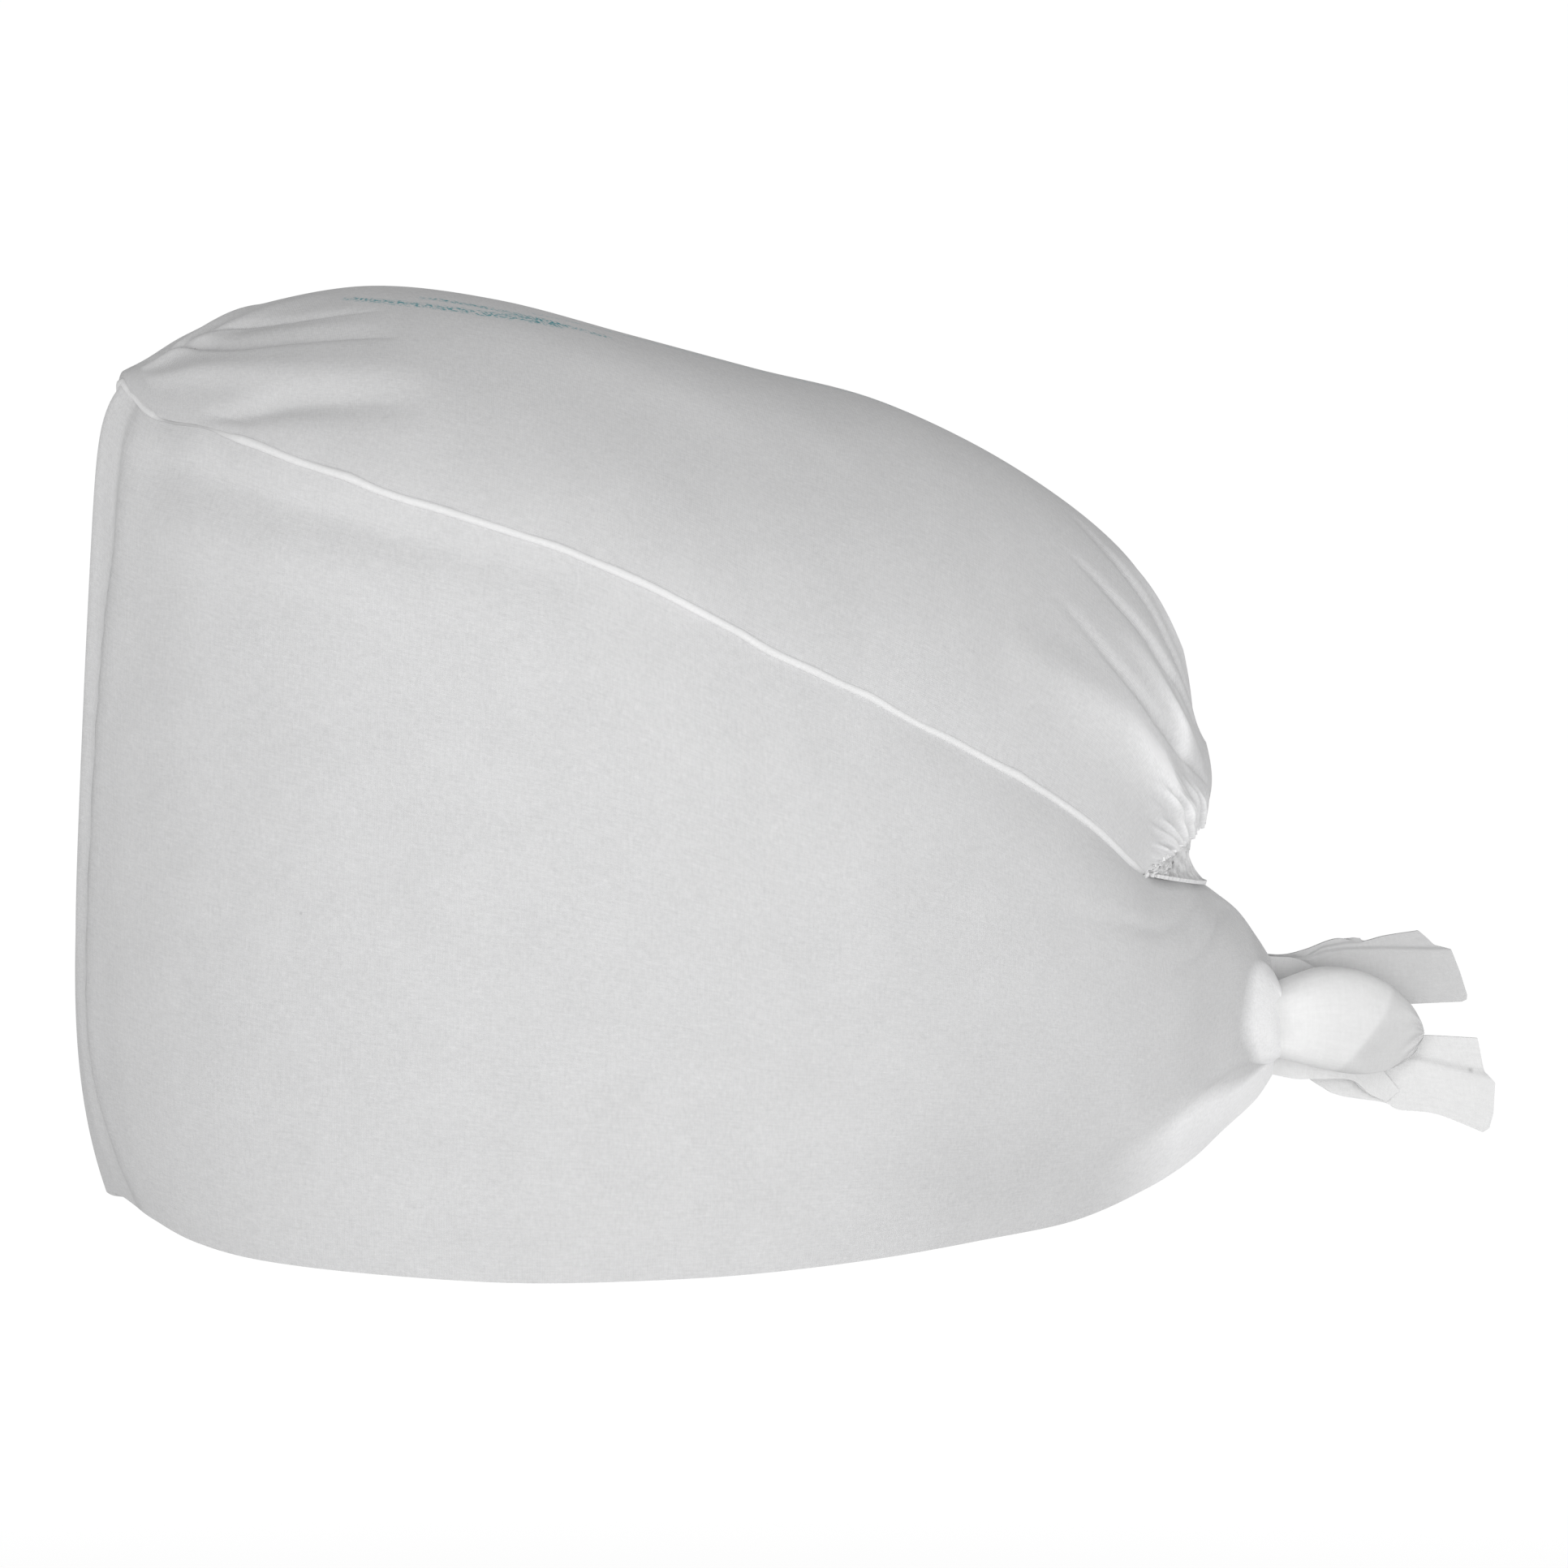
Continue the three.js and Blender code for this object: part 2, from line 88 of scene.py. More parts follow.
soft_lights = [
    # name, place, aim, size, power
    ("front_softbox", (-0.8, -2.25, 0.55), (0.03, 0, 0.08), 1.6, 21.5),
    ("knot_softbox", (0.75, -0.9, -0.1), (0.12, 0, 0.04), 0.5, 1.7),
]
for light_name, light_place, light_aim, light_size, light_power in soft_lights:
    lamp = bpy.data.lights.new(light_name, "AREA")
    lamp.size = light_size
    lamp.energy = light_power
    lamp_object = bpy.data.objects.new(light_name, lamp)
    bpy.context.scene.collection.objects.link(lamp_object)
    lamp_object.location = light_place
    lamp_aim = Vector(light_aim) - Vector(light_place)
    lamp_object.rotation_mode = "QUATERNION"
    lamp_object.rotation_quaternion = lamp_aim.to_track_quat("-Z", "Y")

floor_depth = -0.25
floor_breadth = 80
floor_tone = 0.85
# The floor's glow is painted light, and its weaker glow near the cap is a painted shadow.
glow_distances = (0.1, 1.6)
glow_strengths = (0.12, 0.62)
bpy.ops.object.select_all(action="DESELECT")
bpy.ops.mesh.primitive_plane_add(size=floor_breadth, location=(0, 0, floor_depth))
floor = bpy.context.object
floor.name = "pale_floor"
floor_paint = bpy.data.materials.new("pale_floor_paint")
floor_paint.use_nodes = True
floor_shader = floor_paint.node_tree.nodes["Principled BSDF"]
floor_shader.inputs["Base Color"].default_value = (floor_tone, floor_tone, floor_tone, 1)
floor_shader.inputs["Roughness"].default_value = 1
floor_shader.inputs["Specular IOR Level"].default_value = 0
floor_shader.inputs["Emission Color"].default_value = (1, 1, 1, 1)
floor_shader.inputs["Emission Strength"].default_value = 1
floor_place = floor_paint.node_tree.nodes.new("ShaderNodeTexCoord")
floor_distance = floor_paint.node_tree.nodes.new("ShaderNodeVectorMath")
floor_distance.operation = "LENGTH"
floor_glow_and_painted_shadow = floor_paint.node_tree.nodes.new("ShaderNodeMapRange")
floor_glow_and_painted_shadow.interpolation_type = "SMOOTHSTEP"
floor_glow_and_painted_shadow.inputs["From Min"].default_value = glow_distances[0]
floor_glow_and_painted_shadow.inputs["From Max"].default_value = glow_distances[1]
floor_glow_and_painted_shadow.inputs["To Min"].default_value = glow_strengths[0]
floor_glow_and_painted_shadow.inputs["To Max"].default_value = glow_strengths[1]
floor_paint.node_tree.links.new(floor_place.outputs["Object"], floor_distance.inputs[0])
floor_paint.node_tree.links.new(floor_distance.outputs["Value"], floor_glow_and_painted_shadow.inputs["Value"])
floor_paint.node_tree.links.new(floor_glow_and_painted_shadow.outputs["Result"], floor_shader.inputs["Emission Color"])
floor.data.materials.append(floor_paint)

# Side band
# The deep band goes round the head from tie to tie, one layer of plain cotton cut on the curve
# and sewn to the crown along its top edge. At the nape its ends are gathered into the knot.
cap_length = 0.225
half_breadth = 0.079
cap_height = 0.176
solid_cloth = 0.0012
cotton_thickness = 0.0007
edge_gap = 0.0002
side_fullness = 3
brow_top_fullness = 16
brow_foot_fullness = 3.4
brow_tilt = 0.44
brow_stations = 7
fold_hold = 0.05
kink_station = 7.8
kink_width = 0.12
kink_drop = 0.0005
seam_waves = [
    # height in metres, turn for each station, start
    (0.00012, 3.1, 0.4),
    (0.00009, 7.3, 0),
]
fold_fade = 0.7
groove_gentle = 2
groove_steep = 8
brow_crease_depth = 0.016 * half_breadth
brow_crease_width = 0.45
band_cut = (0.545, 0.165)
cotton_tone = (0.66, 0.66, 0.664)
thread_pitch = 0.00042
slub_scales = ((350, 1900, 1), (1900, 420, 1))
fuzz_scale = 1500
cloud_scale = 90
speck_scale = 42
speck_sizes = (0.008, 0.02)
speck_darker = 0.25
mottle_depth = 0.15
cloud_depth = 0.09
dye_colour = (0.06, 0.3, 0.34, 1)
dye_contrast = 5
dye_limits = (0.15, 1.3)
thread_relief = 0.00012
relief_strength = 0.6
pillow_share = 0.35
slub_share = 0.6
fuzz_share = 0.3
roughness_least = 0.86
roughness_range = 0.1
cotton_shine = 0.15
cotton_sheen = 0.04
sheen_roughness = 0.6
smooth_below = math.radians(65)

band_stations = np.array([
    # a row for each station from the brow's middle to the knot, in shares of length, half breadth, height:
    # seam along, aside, up; waist along, aside; rim along, aside, up
    [-0.4, 0, 0.897, -0.431, 0, -0.4036, 0, 0.051],
    [-0.3964, 0.076, 0.886, -0.428, 0.109, -0.4013, 0.127, 0.047],
    [-0.382, 0.203, 0.864, -0.415, 0.267, -0.3973, 0.278, 0.041],
    [-0.353, 0.392, 0.858, -0.3845, 0.463, -0.376, 0.456, 0.026],
    [-0.302, 0.576, 0.832, -0.3325, 0.651, -0.3356, 0.633, 0.015],
    [-0.231, 0.722, 0.798, -0.254, 0.815, -0.2578, 0.804, 0.007],
    [-0.132, 0.835, 0.757, -0.148, 0.933, -0.1511, 0.922, 0],
    [-0.036, 0.899, 0.705, -0.0445, 0.99, -0.0489, 0.972, 0.001],
    [0.062, 0.911, 0.638, 0.0547, 1, 0.044, 0.975, 0.005],
    [0.16, 0.873, 0.578, 0.159, 0.962, 0.147, 0.93, 0.014],
    [0.256, 0.775, 0.514, 0.262, 0.847, 0.247, 0.8, 0.023],
    [0.342, 0.643, 0.45, 0.355, 0.699, 0.338, 0.636, 0.031],
    [0.4116, 0.468, 0.384, 0.433, 0.537, 0.413, 0.47, 0.052],
    [0.458, 0.324, 0.369, 0.478, 0.405, 0.464, 0.342, 0.074],
    [0.492, 0.153, 0.3585, 0.514, 0.297, 0.504, 0.228, 0.1],
    [0.533, 0.089, 0.32, 0.544, 0.175, 0.541, 0.133, 0.126],
    [0.563, 0.051, 0.27, 0.565, 0.051, 0.566, 0.051, 0.152],
])
last_station = len(band_stations) - 1
mirror_signs = np.array([1, -1, 1, 1, -1, 1, -1, 1])
band_columns = np.vstack([band_stations[:0:-1] * mirror_signs, band_stations])


def smooth_value(values, place):
    values = np.asarray(values, dtype=float)
    last = len(values) - 1
    row = np.clip(np.floor(place).astype(int), 0, last - 1)
    f = np.clip(place - row, 0, 1)
    a = values[row]
    b = values[row + 1]
    before = np.where(row > 0, values[np.maximum(row - 1, 0)], 2 * a - b)
    after = np.where(row < last - 1, values[np.minimum(row + 2, last)], 2 * b - a)
    slope = 0.5 * (b - before)
    bend = before - 2.5 * a + 2 * b - 0.5 * after
    twist = 1.5 * (a - b) + 0.5 * (after - before)
    return a + f * (slope + f * (bend + f * twist))


def rising(value, start, end):
    return np.clip((value - start) / (end - start), 0, 1)


def hump(value, middle, width):
    return np.exp(-(((value - middle) / width) ** 2))


def band_value(column, station):
    return smooth_value(band_columns[:, column], last_station + station)


def seam_point(station):
    off_kink = (station - kink_station) / kink_width
    kink = -kink_drop * np.tanh(off_kink) * np.exp(-((off_kink / 3) ** 2))
    wave = sum(height * np.sin(turn * station + start) for height, turn, start in seam_waves)
    return np.stack([
        cap_length * band_value(0, station),
        -half_breadth * band_value(1, station),
        cap_height * band_value(2, station) + kink + wave,
    ], axis=-1)


def rim_point(station):
    return np.stack([
        cap_length * band_value(5, station),
        -half_breadth * band_value(6, station),
        cap_height * band_value(7, station),
    ], axis=-1)


def fold_height(folds, along, across):
    total = np.zeros(np.broadcast(along, across).shape)
    for start, end, path, width, lift, tuck, groove in folds:
        share = rising(along, start, end)
        middle = smooth_value(path, (len(path) - 1) * share)
        off = (across - middle) / width
        soft = np.exp(-off * off) * (lift + tuck * off)
        sided = off * np.sign(groove)
        gentle = np.exp(groove_gentle * np.minimum(sided, 0))
        steep = np.exp(-groove_steep * np.maximum(sided, 0))
        total += np.sin(np.pi * share) ** fold_fade * (soft - abs(groove) * gentle * steep)
    return total


def surface_normals(places):
    along_first = np.gradient(places, axis=0)
    along_second = np.gradient(places, axis=1)
    normals = np.cross(along_first, along_second)
    return normals / np.maximum(np.linalg.norm(normals, axis=-1, keepdims=True), 1e-12)


def even_shares(places, axis):
    steps = np.linalg.norm(np.diff(places, axis=axis), axis=-1).mean(axis=1 - axis)
    shares = np.concatenate([[0], np.cumsum(steps)])
    return shares / shares[-1]


def laid_grid(name, places, cloth_size, marks):
    first_count, second_count = places.shape[:2]
    bpy.ops.object.select_all(action="DESELECT")
    bpy.ops.mesh.primitive_grid_add(
        x_subdivisions=first_count - 1, y_subdivisions=second_count - 1, size=1
    )
    grid = bpy.context.object
    grid.name = name
    mesh = grid.data
    flat = np.empty(len(mesh.vertices) * 3)
    mesh.vertices.foreach_get("co", flat)
    flat = flat.reshape(-1, 3) + 0.5
    first = np.rint(flat[:, 0] * (first_count - 1)).astype(int)
    second = np.rint(flat[:, 1] * (second_count - 1)).astype(int)
    mesh.vertices.foreach_set("co", places[first, second].ravel())
    corners = np.empty(len(mesh.loops), dtype=int)
    mesh.loops.foreach_get("vertex_index", corners)
    cloth_map = mesh.uv_layers[0]
    cloth_map.name = "cloth"
    warp_at = even_shares(places, 0)[first] * cloth_size[0]
    weft_at = even_shares(places, 1)[second] * cloth_size[1]
    cloth_map.data.foreach_set("uv", np.stack([warp_at, weft_at], axis=-1)[corners].ravel())
    for mark, strength in marks.items():
        layer = mesh.attributes.new(mark, "FLOAT", "POINT")
        layer.data.foreach_set("value", np.broadcast_to(strength, places.shape[:2])[first, second])
    mesh.update()
    return grid


def cloth_sheet(name, places, cloth_size, thickness, marks):
    sheet = laid_grid(name, places, cloth_size, marks)
    wall = sheet.modifiers.new("cloth_thickness", "SOLIDIFY")
    wall.thickness = thickness
    wall.offset = -1
    bpy.ops.object.modifier_apply(modifier=wall.name)
    bpy.ops.object.shade_smooth_by_angle(angle=smooth_below)
    return sheet


class Fibre:
    """A socket in a cotton's nodes. Arithmetic on it adds Math nodes."""

    def __init__(self, tree, socket=None):
        self.tree = tree
        self.socket = socket

    def node(self, kind, settings, sockets, output=0):
        made = self.tree.nodes.new(kind)
        for name, value in settings.items():
            setattr(made, name, value)
        for name, value in sockets.items():
            if isinstance(value, Fibre):
                self.tree.links.new(value.socket, made.inputs[name])
            else:
                made.inputs[name].default_value = value
        return Fibre(self.tree, made.outputs[output])

    def maths(self, operation, first, second=0.0):
        return self.node("ShaderNodeMath", {"operation": operation}, {0: first, 1: second})

    def __add__(self, other):
        return self.maths("ADD", self, other)

    __radd__ = __add__

    def __sub__(self, other):
        return self.maths("SUBTRACT", self, other)

    def __rsub__(self, other):
        return self.maths("SUBTRACT", other, self)

    def __mul__(self, other):
        return self.maths("MULTIPLY", self, other)

    __rmul__ = __mul__

    def clamped(self, low, high):
        return self.node(
            "ShaderNodeMapRange", {"clamp": True}, {"Value": self, "From Min": low, "From Max": high}
        )


def cotton(name, tone, threads_show=1.0):
    material = bpy.data.materials.new(name)
    material.use_nodes = True
    tree = material.node_tree
    start = Fibre(tree)
    on_cloth = start.node("ShaderNodeUVMap", {"uv_map": "cloth"}, {})
    on_object = start.node("ShaderNodeTexCoord", {}, {}, "Object")
    warp = start.node("ShaderNodeSeparateXYZ", {}, {0: on_cloth}, 0)
    weft = start.node("ShaderNodeSeparateXYZ", {}, {0: on_cloth}, 1)
    turn = math.pi / thread_pitch
    crossing = warp.maths("SINE", warp * turn) * weft.maths("SINE", weft * turn)
    pillow = crossing * crossing
    slubs = []
    for slub_scale in slub_scales:
        drawn_out = start.node("ShaderNodeMapping", {}, {"Vector": on_cloth, "Scale": slub_scale})
        slubs.append(start.node("ShaderNodeTexNoise", {}, {"Vector": drawn_out, "Scale": 1, "Detail": 2}))
    slub = slubs[0] + slubs[1]
    fuzz = start.node("ShaderNodeTexNoise", {}, {"Vector": on_object, "Scale": fuzz_scale, "Detail": 3})
    cloud = start.node("ShaderNodeTexNoise", {}, {"Vector": on_object, "Scale": cloud_scale, "Detail": 2})
    speck_cells = start.node(
        "ShaderNodeTexVoronoi",
        {},
        {"Vector": on_object, "Scale": speck_scale, "Randomness": 1},
        "Distance",
    )
    speck = 1 - speck_cells.clamped(*speck_sizes)
    mottle = (slub + fuzz - 1.5) * mottle_depth * threads_show + (cloud - 0.5) * cloud_depth
    # The attribute pale carries painted light and painted shade, and the tail's real dark speck.
    painted_light_shade_and_specks = start.node("ShaderNodeAttribute", {"attribute_name": "pale"}, {}, "Fac")
    shade = (1 + mottle - speck * speck_darker) * (1 + painted_light_shade_and_specks)
    grey = start.node("ShaderNodeCombineColor", {}, {0: shade, 1: shade, 2: shade})
    shaded = start.node(
        "ShaderNodeMix",
        {"data_type": "RGBA", "blend_type": "MULTIPLY"},
        {"Factor": 1.0, 6: (*tone, 1), 7: grey},
        2,
    )
    dye = start.node("ShaderNodeAttribute", {"attribute_name": "trace"}, {}, "Fac")
    dyed = (dye * (0.5 + dye_contrast * (fuzz - 0.5))).clamped(*dye_limits)
    shaded = start.node(
        "ShaderNodeMix",
        {"data_type": "RGBA", "blend_type": "MIX"},
        {"Factor": dyed, 6: shaded, 7: dye_colour},
        2,
    )
    relief = pillow * pillow_share + slub * slub_share + fuzz * fuzz_share
    bump = start.node(
        "ShaderNodeBump",
        {},
        {"Strength": relief_strength * threads_show, "Distance": thread_relief, "Height": relief},
    )
    shader = tree.nodes["Principled BSDF"]
    tree.links.new(shaded.socket, shader.inputs["Base Color"])
    tree.links.new(bump.socket, shader.inputs["Normal"])
    rough = roughness_least + roughness_range * fuzz
    tree.links.new(rough.socket, shader.inputs["Roughness"])
    shader.inputs["Specular IOR Level"].default_value = cotton_shine
    shader.inputs["Sheen Weight"].default_value = cotton_sheen
    shader.inputs["Sheen Roughness"].default_value = sheen_roughness
    return material


def finish_cloth(piece, material, nodes):
    piece.data.materials.append(material)
    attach(piece, "root")
    if nodes:
        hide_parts(*nodes)


band_folds = [
    # from, to (stations); path down from the seam; width; lift, tuck and groove in metres
    (1.4, 6.6, [0.05, 0.045, 0.02], 0.035, 0.0015, 0, 0),
    (1.2, 6.0, [0.13, 0.125, 0.1], 0.04, -0.0012, 0, 0),
    (-6.4, -1.2, [0.03, 0.05, 0.06], 0.04, 0.0012, 0, 0),
    (10.9, 16.6, [0.86, 0.75, 0.7, 0.71, 0.78, 0.86], 0.04, 0, 0.0009, 0),
    (10.4, 13.4, [0.28, 0.17, 0.03], 0.03, 0.0005, 0.0004, 0),
    (11.9, 14.6, [0.3, 0.2, 0.02], 0.03, 0.0006, 0.0004, 0),
    (-16.4, -10.4, [0.86, 0.72, 0.9], 0.06, -0.0014, 0.0014, 0),
    (-13.2, -11.2, [0.06, 0.2, 0.3], 0.03, 0.0006, 0.0004, 0),
]
band_creases = [
    # from, to (shares of the way down); path in stations; width; lift, tuck and groove in metres
    (-0.15, 1.1, [-0.1, 1.2, 1.5, 1.2, 1.0, 0.9, 0.8, 0.7, 1.2, 1.6], 0.8, 0, 0, -0.0014),
]
brow_pleat_width = 2.6
collar_edge = np.array([
    # share of the way down, station where the collar begins
    [0.1, 15.9],
    [0.2, 15.2],
    [0.31, 14.5],
    [0.4, 14.15],
    [0.47, 13.95],
    [0.56, 13.8],
    [0.65, 13.9],
    [0.74, 14.35],
    [0.8, 15.0],
    [0.88, 15.9],
])
collar_push = 0.0111
collar_back = 0.12
# Levels of painted light and painted shade on the band.
collar_painted_light_level = 0.44
pleat_painted_highlight_level = 0.07
pleat_painted_shade_level = 0.13
drape_painted_highlight_level = 0.03
foot_painted_shade_level = 0.07
under_casing_painted_shade_level = 0.3
low_fold_line = np.array([
    # station, share of the way down
    [10.9, 0.87],
    [11.15, 0.81],
    [11.5, 0.745],
    [12.1, 0.7],
    [12.65, 0.7],
    [13.9, 0.765],
    [15.0, 0.79],
    [15.65, 0.785],
    [16.0, 0.76],
])
band_marks = [-last_station, -11, -2, 2, 11, last_station]
band_steps = [0, 60, 135, 195, 270, 330]
band_along = np.interp(np.arange(band_steps[-1] + 1), band_steps, band_marks)[:, None]
band_down = np.linspace(0, 1, 142)[None, :]
band_station = np.abs(band_along)
band_top = seam_point(band_along)
band_foot = rim_point(band_along)
band_fall = band_foot - band_top
band_top = band_top + band_fall * (edge_gap / np.linalg.norm(band_fall, axis=-1, keepdims=True))
band_waist = np.stack([
    cap_length * band_value(3, band_along) - (band_top[..., 0] + band_foot[..., 0]) / 2,
    -half_breadth * band_value(4, band_along) - (band_top[..., 1] + band_foot[..., 1]) / 2,
    np.zeros_like(band_along),
], axis=-1)
band_side = rising(band_station, 0, brow_stations)
band_brow = 1 - band_side * band_side * (3 - 2 * band_side)
band_half = 2 * band_down - 1
band_fullness = np.where(band_half < 0, brow_top_fullness, brow_foot_fullness)
band_fullness = side_fullness + (band_fullness - side_fullness) * band_brow
band_bulge = (1 - np.abs(band_half) ** band_fullness) * (1 + brow_tilt * band_brow * band_half)
band_places = band_top + (band_foot - band_top) * band_down[..., None] + band_waist * band_bulge[..., None]
band_held = rising(np.minimum(band_down, 1 - band_down), 0, fold_hold)
band_crease = hump(band_along, 0, brow_crease_width) * np.sin(np.pi * band_down) ** 0.5
band_lift = fold_height(band_folds, band_along, band_down)
band_lift = band_lift + fold_height(band_creases, band_down, band_along)
band_lift = band_held * band_lift - brow_crease_depth * band_crease + solid_cloth / 2
band_places = band_places + surface_normals(band_places) * band_lift[..., None]
# Near the knot the cloth swells out to a gathered neck, the collar.
collar_row = np.interp(band_down, collar_edge[:, 0], range(len(collar_edge)))
collar_start = smooth_value(collar_edge[:, 1], collar_row)
collar_share = rising(band_station, collar_start, last_station + 0.01)
collar_body = rising(band_down, 0.09, 0.27) * rising(band_down, 0.9, 0.7)
collar_body = np.sin(0.5 * np.pi * collar_body)
collar_rise = 0.5 * np.sin(0.5 * np.pi * collar_share) ** 1.4 + 0.5 * collar_share**2
collar_rise = collar_push * collar_body * collar_rise
band_places[..., 1] -= np.sign(band_along) * collar_rise
band_places[..., 0] -= collar_back * collar_rise
# The value called pale lightens and darkens the cotton as painted light and shade: painted highlights on
# the low facet, the collar and the drape under the seam, and painted shade at the bottom of sharp creases,
# beside the low facet and under the casing. In a few soft spots it only brings the tone to the
# photograph's.
fold_level = np.interp(band_station, low_fold_line[:, 0], low_fold_line[:, 1])
fold_soft = np.interp(band_station, [11, 13, 14.5], [0.16, 0.07, 0.03])
below_fold = np.clip((band_down - fold_level) / fold_soft, 0, 1) * rising(band_station, 10.9, 12.3)
# Painted light on the low facet, which turns towards the light.
facet_painted_light = np.interp(band_station, [11.1, 12.2, 13.4, 14.2], [0.18, 0.4, 0.41, 0.46]) * below_fold
# Painted light on the collar.
collar_pale = collar_painted_light_level * np.clip(collar_share * 4, 0, 1) * np.clip(collar_body * 3, 0, 1)
# Painted highlight on the drape just below the seam.
drape_pale = drape_painted_highlight_level * hump(band_down, 0.05, 0.03) * hump(band_station, 3.2, 1.6)
# Painted shade on a strip beside the low facet.
foot_pale = -foot_painted_shade_level * hump(band_station, 10, 1) * hump(band_down, 0.87, 0.1)
# Painted highlight beside the brow crease and painted shade along its edge.
pleat_from, pleat_to, pleat_path = band_creases[0][:3]
pleat_share = (band_down - pleat_from) / (pleat_to - pleat_from)
pleat_edge = smooth_value(pleat_path, (len(pleat_path) - 1) * pleat_share) - band_along
pleat_pale = rising(pleat_edge, 0, 0.15) * np.clip(1.5 - pleat_edge / brow_pleat_width, 0, 1)
pleat_pale = pleat_painted_highlight_level * pleat_pale * rising(band_down, 0.75, 0.25)
pleat_pale = pleat_pale - pleat_painted_shade_level * hump(pleat_edge, 0, 0.22)
# Painted shade on the band's top edge under the casing.
under_casing_shade_mask = np.interp(band_station, [11.9, 12.2, 13.9, 14.2], [0, 1, 1, 0])
under_casing_shade_mask = under_casing_shade_mask * rising(band_down, 0.039, 0.009)
band_painted_light_and_shade = np.maximum(facet_painted_light, collar_pale) + foot_pale
band_painted_light_and_shade = band_painted_light_and_shade + pleat_pale + drape_pale - under_casing_painted_shade_level * under_casing_shade_mask
side_band = cloth_sheet("band_cloth", band_places, band_cut, cotton_thickness, {"pale": band_painted_light_and_shade})
finish_cloth(side_band, cotton("band_cotton", cotton_tone), ["side_band"])

# Crown seam
# The two panels meet in a turned allowance that stands up as a thin round roll, a little uneven along its
# length, and catches the light. Its cotton is also set paler than the panels as a painted highlight, so it
# shows as a pale line, and where it fades it is darkened as painted shade.
roll_radius = 0.0008
roll_stand = 0.0002
seam_stations = 14
seam_steps = 700
seam_sides = 12
seam_painted_highlight_tone = (0.8, 0.8, 0.802)
seam_knot_count = 120
seam_uneven = 0.08
seam_bob = 0.0001
seam_painted_shade_level = 0.34
seam_cut = (0.5, 0.005)
seam_along = np.linspace(-seam_stations, seam_stations, seam_steps)
seam_line = seam_point(seam_along)
seam_way = np.gradient(seam_line, axis=0)
seam_way /= np.linalg.norm(seam_way, axis=1, keepdims=True)
seam_out = np.cross(seam_way, np.array([0.0, 0.0, 1.0]))
seam_out /= np.linalg.norm(seam_out, axis=1, keepdims=True)
seam_up = np.cross(seam_out, seam_way)
seam_random = np.random.default_rng(7)
seam_knots = seam_random.normal(0, 1, seam_knot_count)
seam_wander = np.interp(
    np.linspace(0, 1, seam_steps), np.linspace(0, 1, seam_knot_count), seam_knots
)
seam_station = np.abs(seam_along)
seam_show = np.interp(seam_station, [1.8, 2.1, 2.9, 3.4, 11.75, 12.15], [0.8, 0, 0, 1, 1, 0])
seam_fading = 0.5 + 0.5 * seam_show
seam_inset = np.interp(seam_station, [12, 12.6], [0, 0.0007])
seam_swell = roll_radius * (1 + seam_uneven * seam_wander) * seam_fading
seam_turn = np.linspace(0, 2 * np.pi, seam_sides + 1)
seam_places = (
    seam_line[:, None]
    + seam_out[:, None] * (np.cos(seam_turn)[None, :, None] * seam_swell[:, None, None])
    - seam_up[:, None] * (np.sin(seam_turn)[None, :, None] * seam_swell[:, None, None])
    + seam_up[:, None] * (roll_stand * 0.5 + seam_bob * seam_wander[:, None, None])
    + seam_out[:, None] * (roll_stand * seam_show[:, None, None] - seam_inset[:, None, None])
)


def closed_roll(name, places, cloth_size, marks):
    roll = laid_grid(name, places, cloth_size, marks)
    bpy.ops.object.mode_set(mode="EDIT")
    bpy.ops.mesh.select_all(action="SELECT")
    bpy.ops.mesh.remove_doubles(threshold=0.000001)
    bpy.ops.mesh.select_all(action="DESELECT")
    bpy.ops.mesh.select_non_manifold()
    bpy.ops.mesh.fill_holes(sides=400)
    bpy.ops.mesh.select_all(action="SELECT")
    bpy.ops.mesh.normals_make_consistent(inside=False)
    bpy.ops.object.mode_set(mode="OBJECT")
    bpy.ops.object.shade_smooth_by_angle(angle=smooth_below)
    return roll


# Painted shade where the seam fades.
seam_painted_shade = -seam_painted_shade_level * (1 - seam_show)[:, None]
crown_seam = closed_roll("seam_roll", seam_places, seam_cut, {"pale": seam_painted_shade})
finish_cloth(crown_seam, cotton("seam_cotton", seam_painted_highlight_tone, 0.6), ["crown_seam"])

# Crown
# The top panel is one piece of the same cotton, pleated into the seam at the brow and gathered
# by elastic at the nape, where it bags out above the casing.
crown_sections = np.array([
    # station, ridge along, ridge up, lean
    [1, -0.398, 0.907, 0.15],
    [2, -0.377, 0.92, 0.25],
    [3, -0.338, 0.947, 0.26],
    [4, -0.284, 0.9735, 0.24],
    [5, -0.191, 0.991, 0.21],
    [6, -0.089, 0.975, 0.2],
    [7, 0.018, 0.938, 0.2],
    [8, 0.1244, 0.9005, 0.2],
    [9, 0.231, 0.864, 0.2],
    [10, 0.342, 0.794, 0.23],
    [11, 0.433, 0.705, 0.28],
    [11.4, 0.48, 0.607, 0.33],
    [11.7, 0.5, 0.524, 0.36],
    [11.88, 0.509, 0.47, 0.38],
    [12, 0.503, 0.428, 0.4],
])
crown_cut = (0.265, 0.21)
crown_tone = (0.665, 0.665, 0.669)
crown_inward = 0.25
brow_edge_shift = np.array([-0.0004, 0, 0.0003])
ruffle_counts = (118, 171, 83)
ruffle_height = 0.0004
ruffle_painted_light_level = 0.05
ruffle_painted_light_and_shade_contrast = 0.1
fine_fold_rows = (9, 11, 13)
fine_fold_width = 0.008
crease_painted_shade_level = 0.1
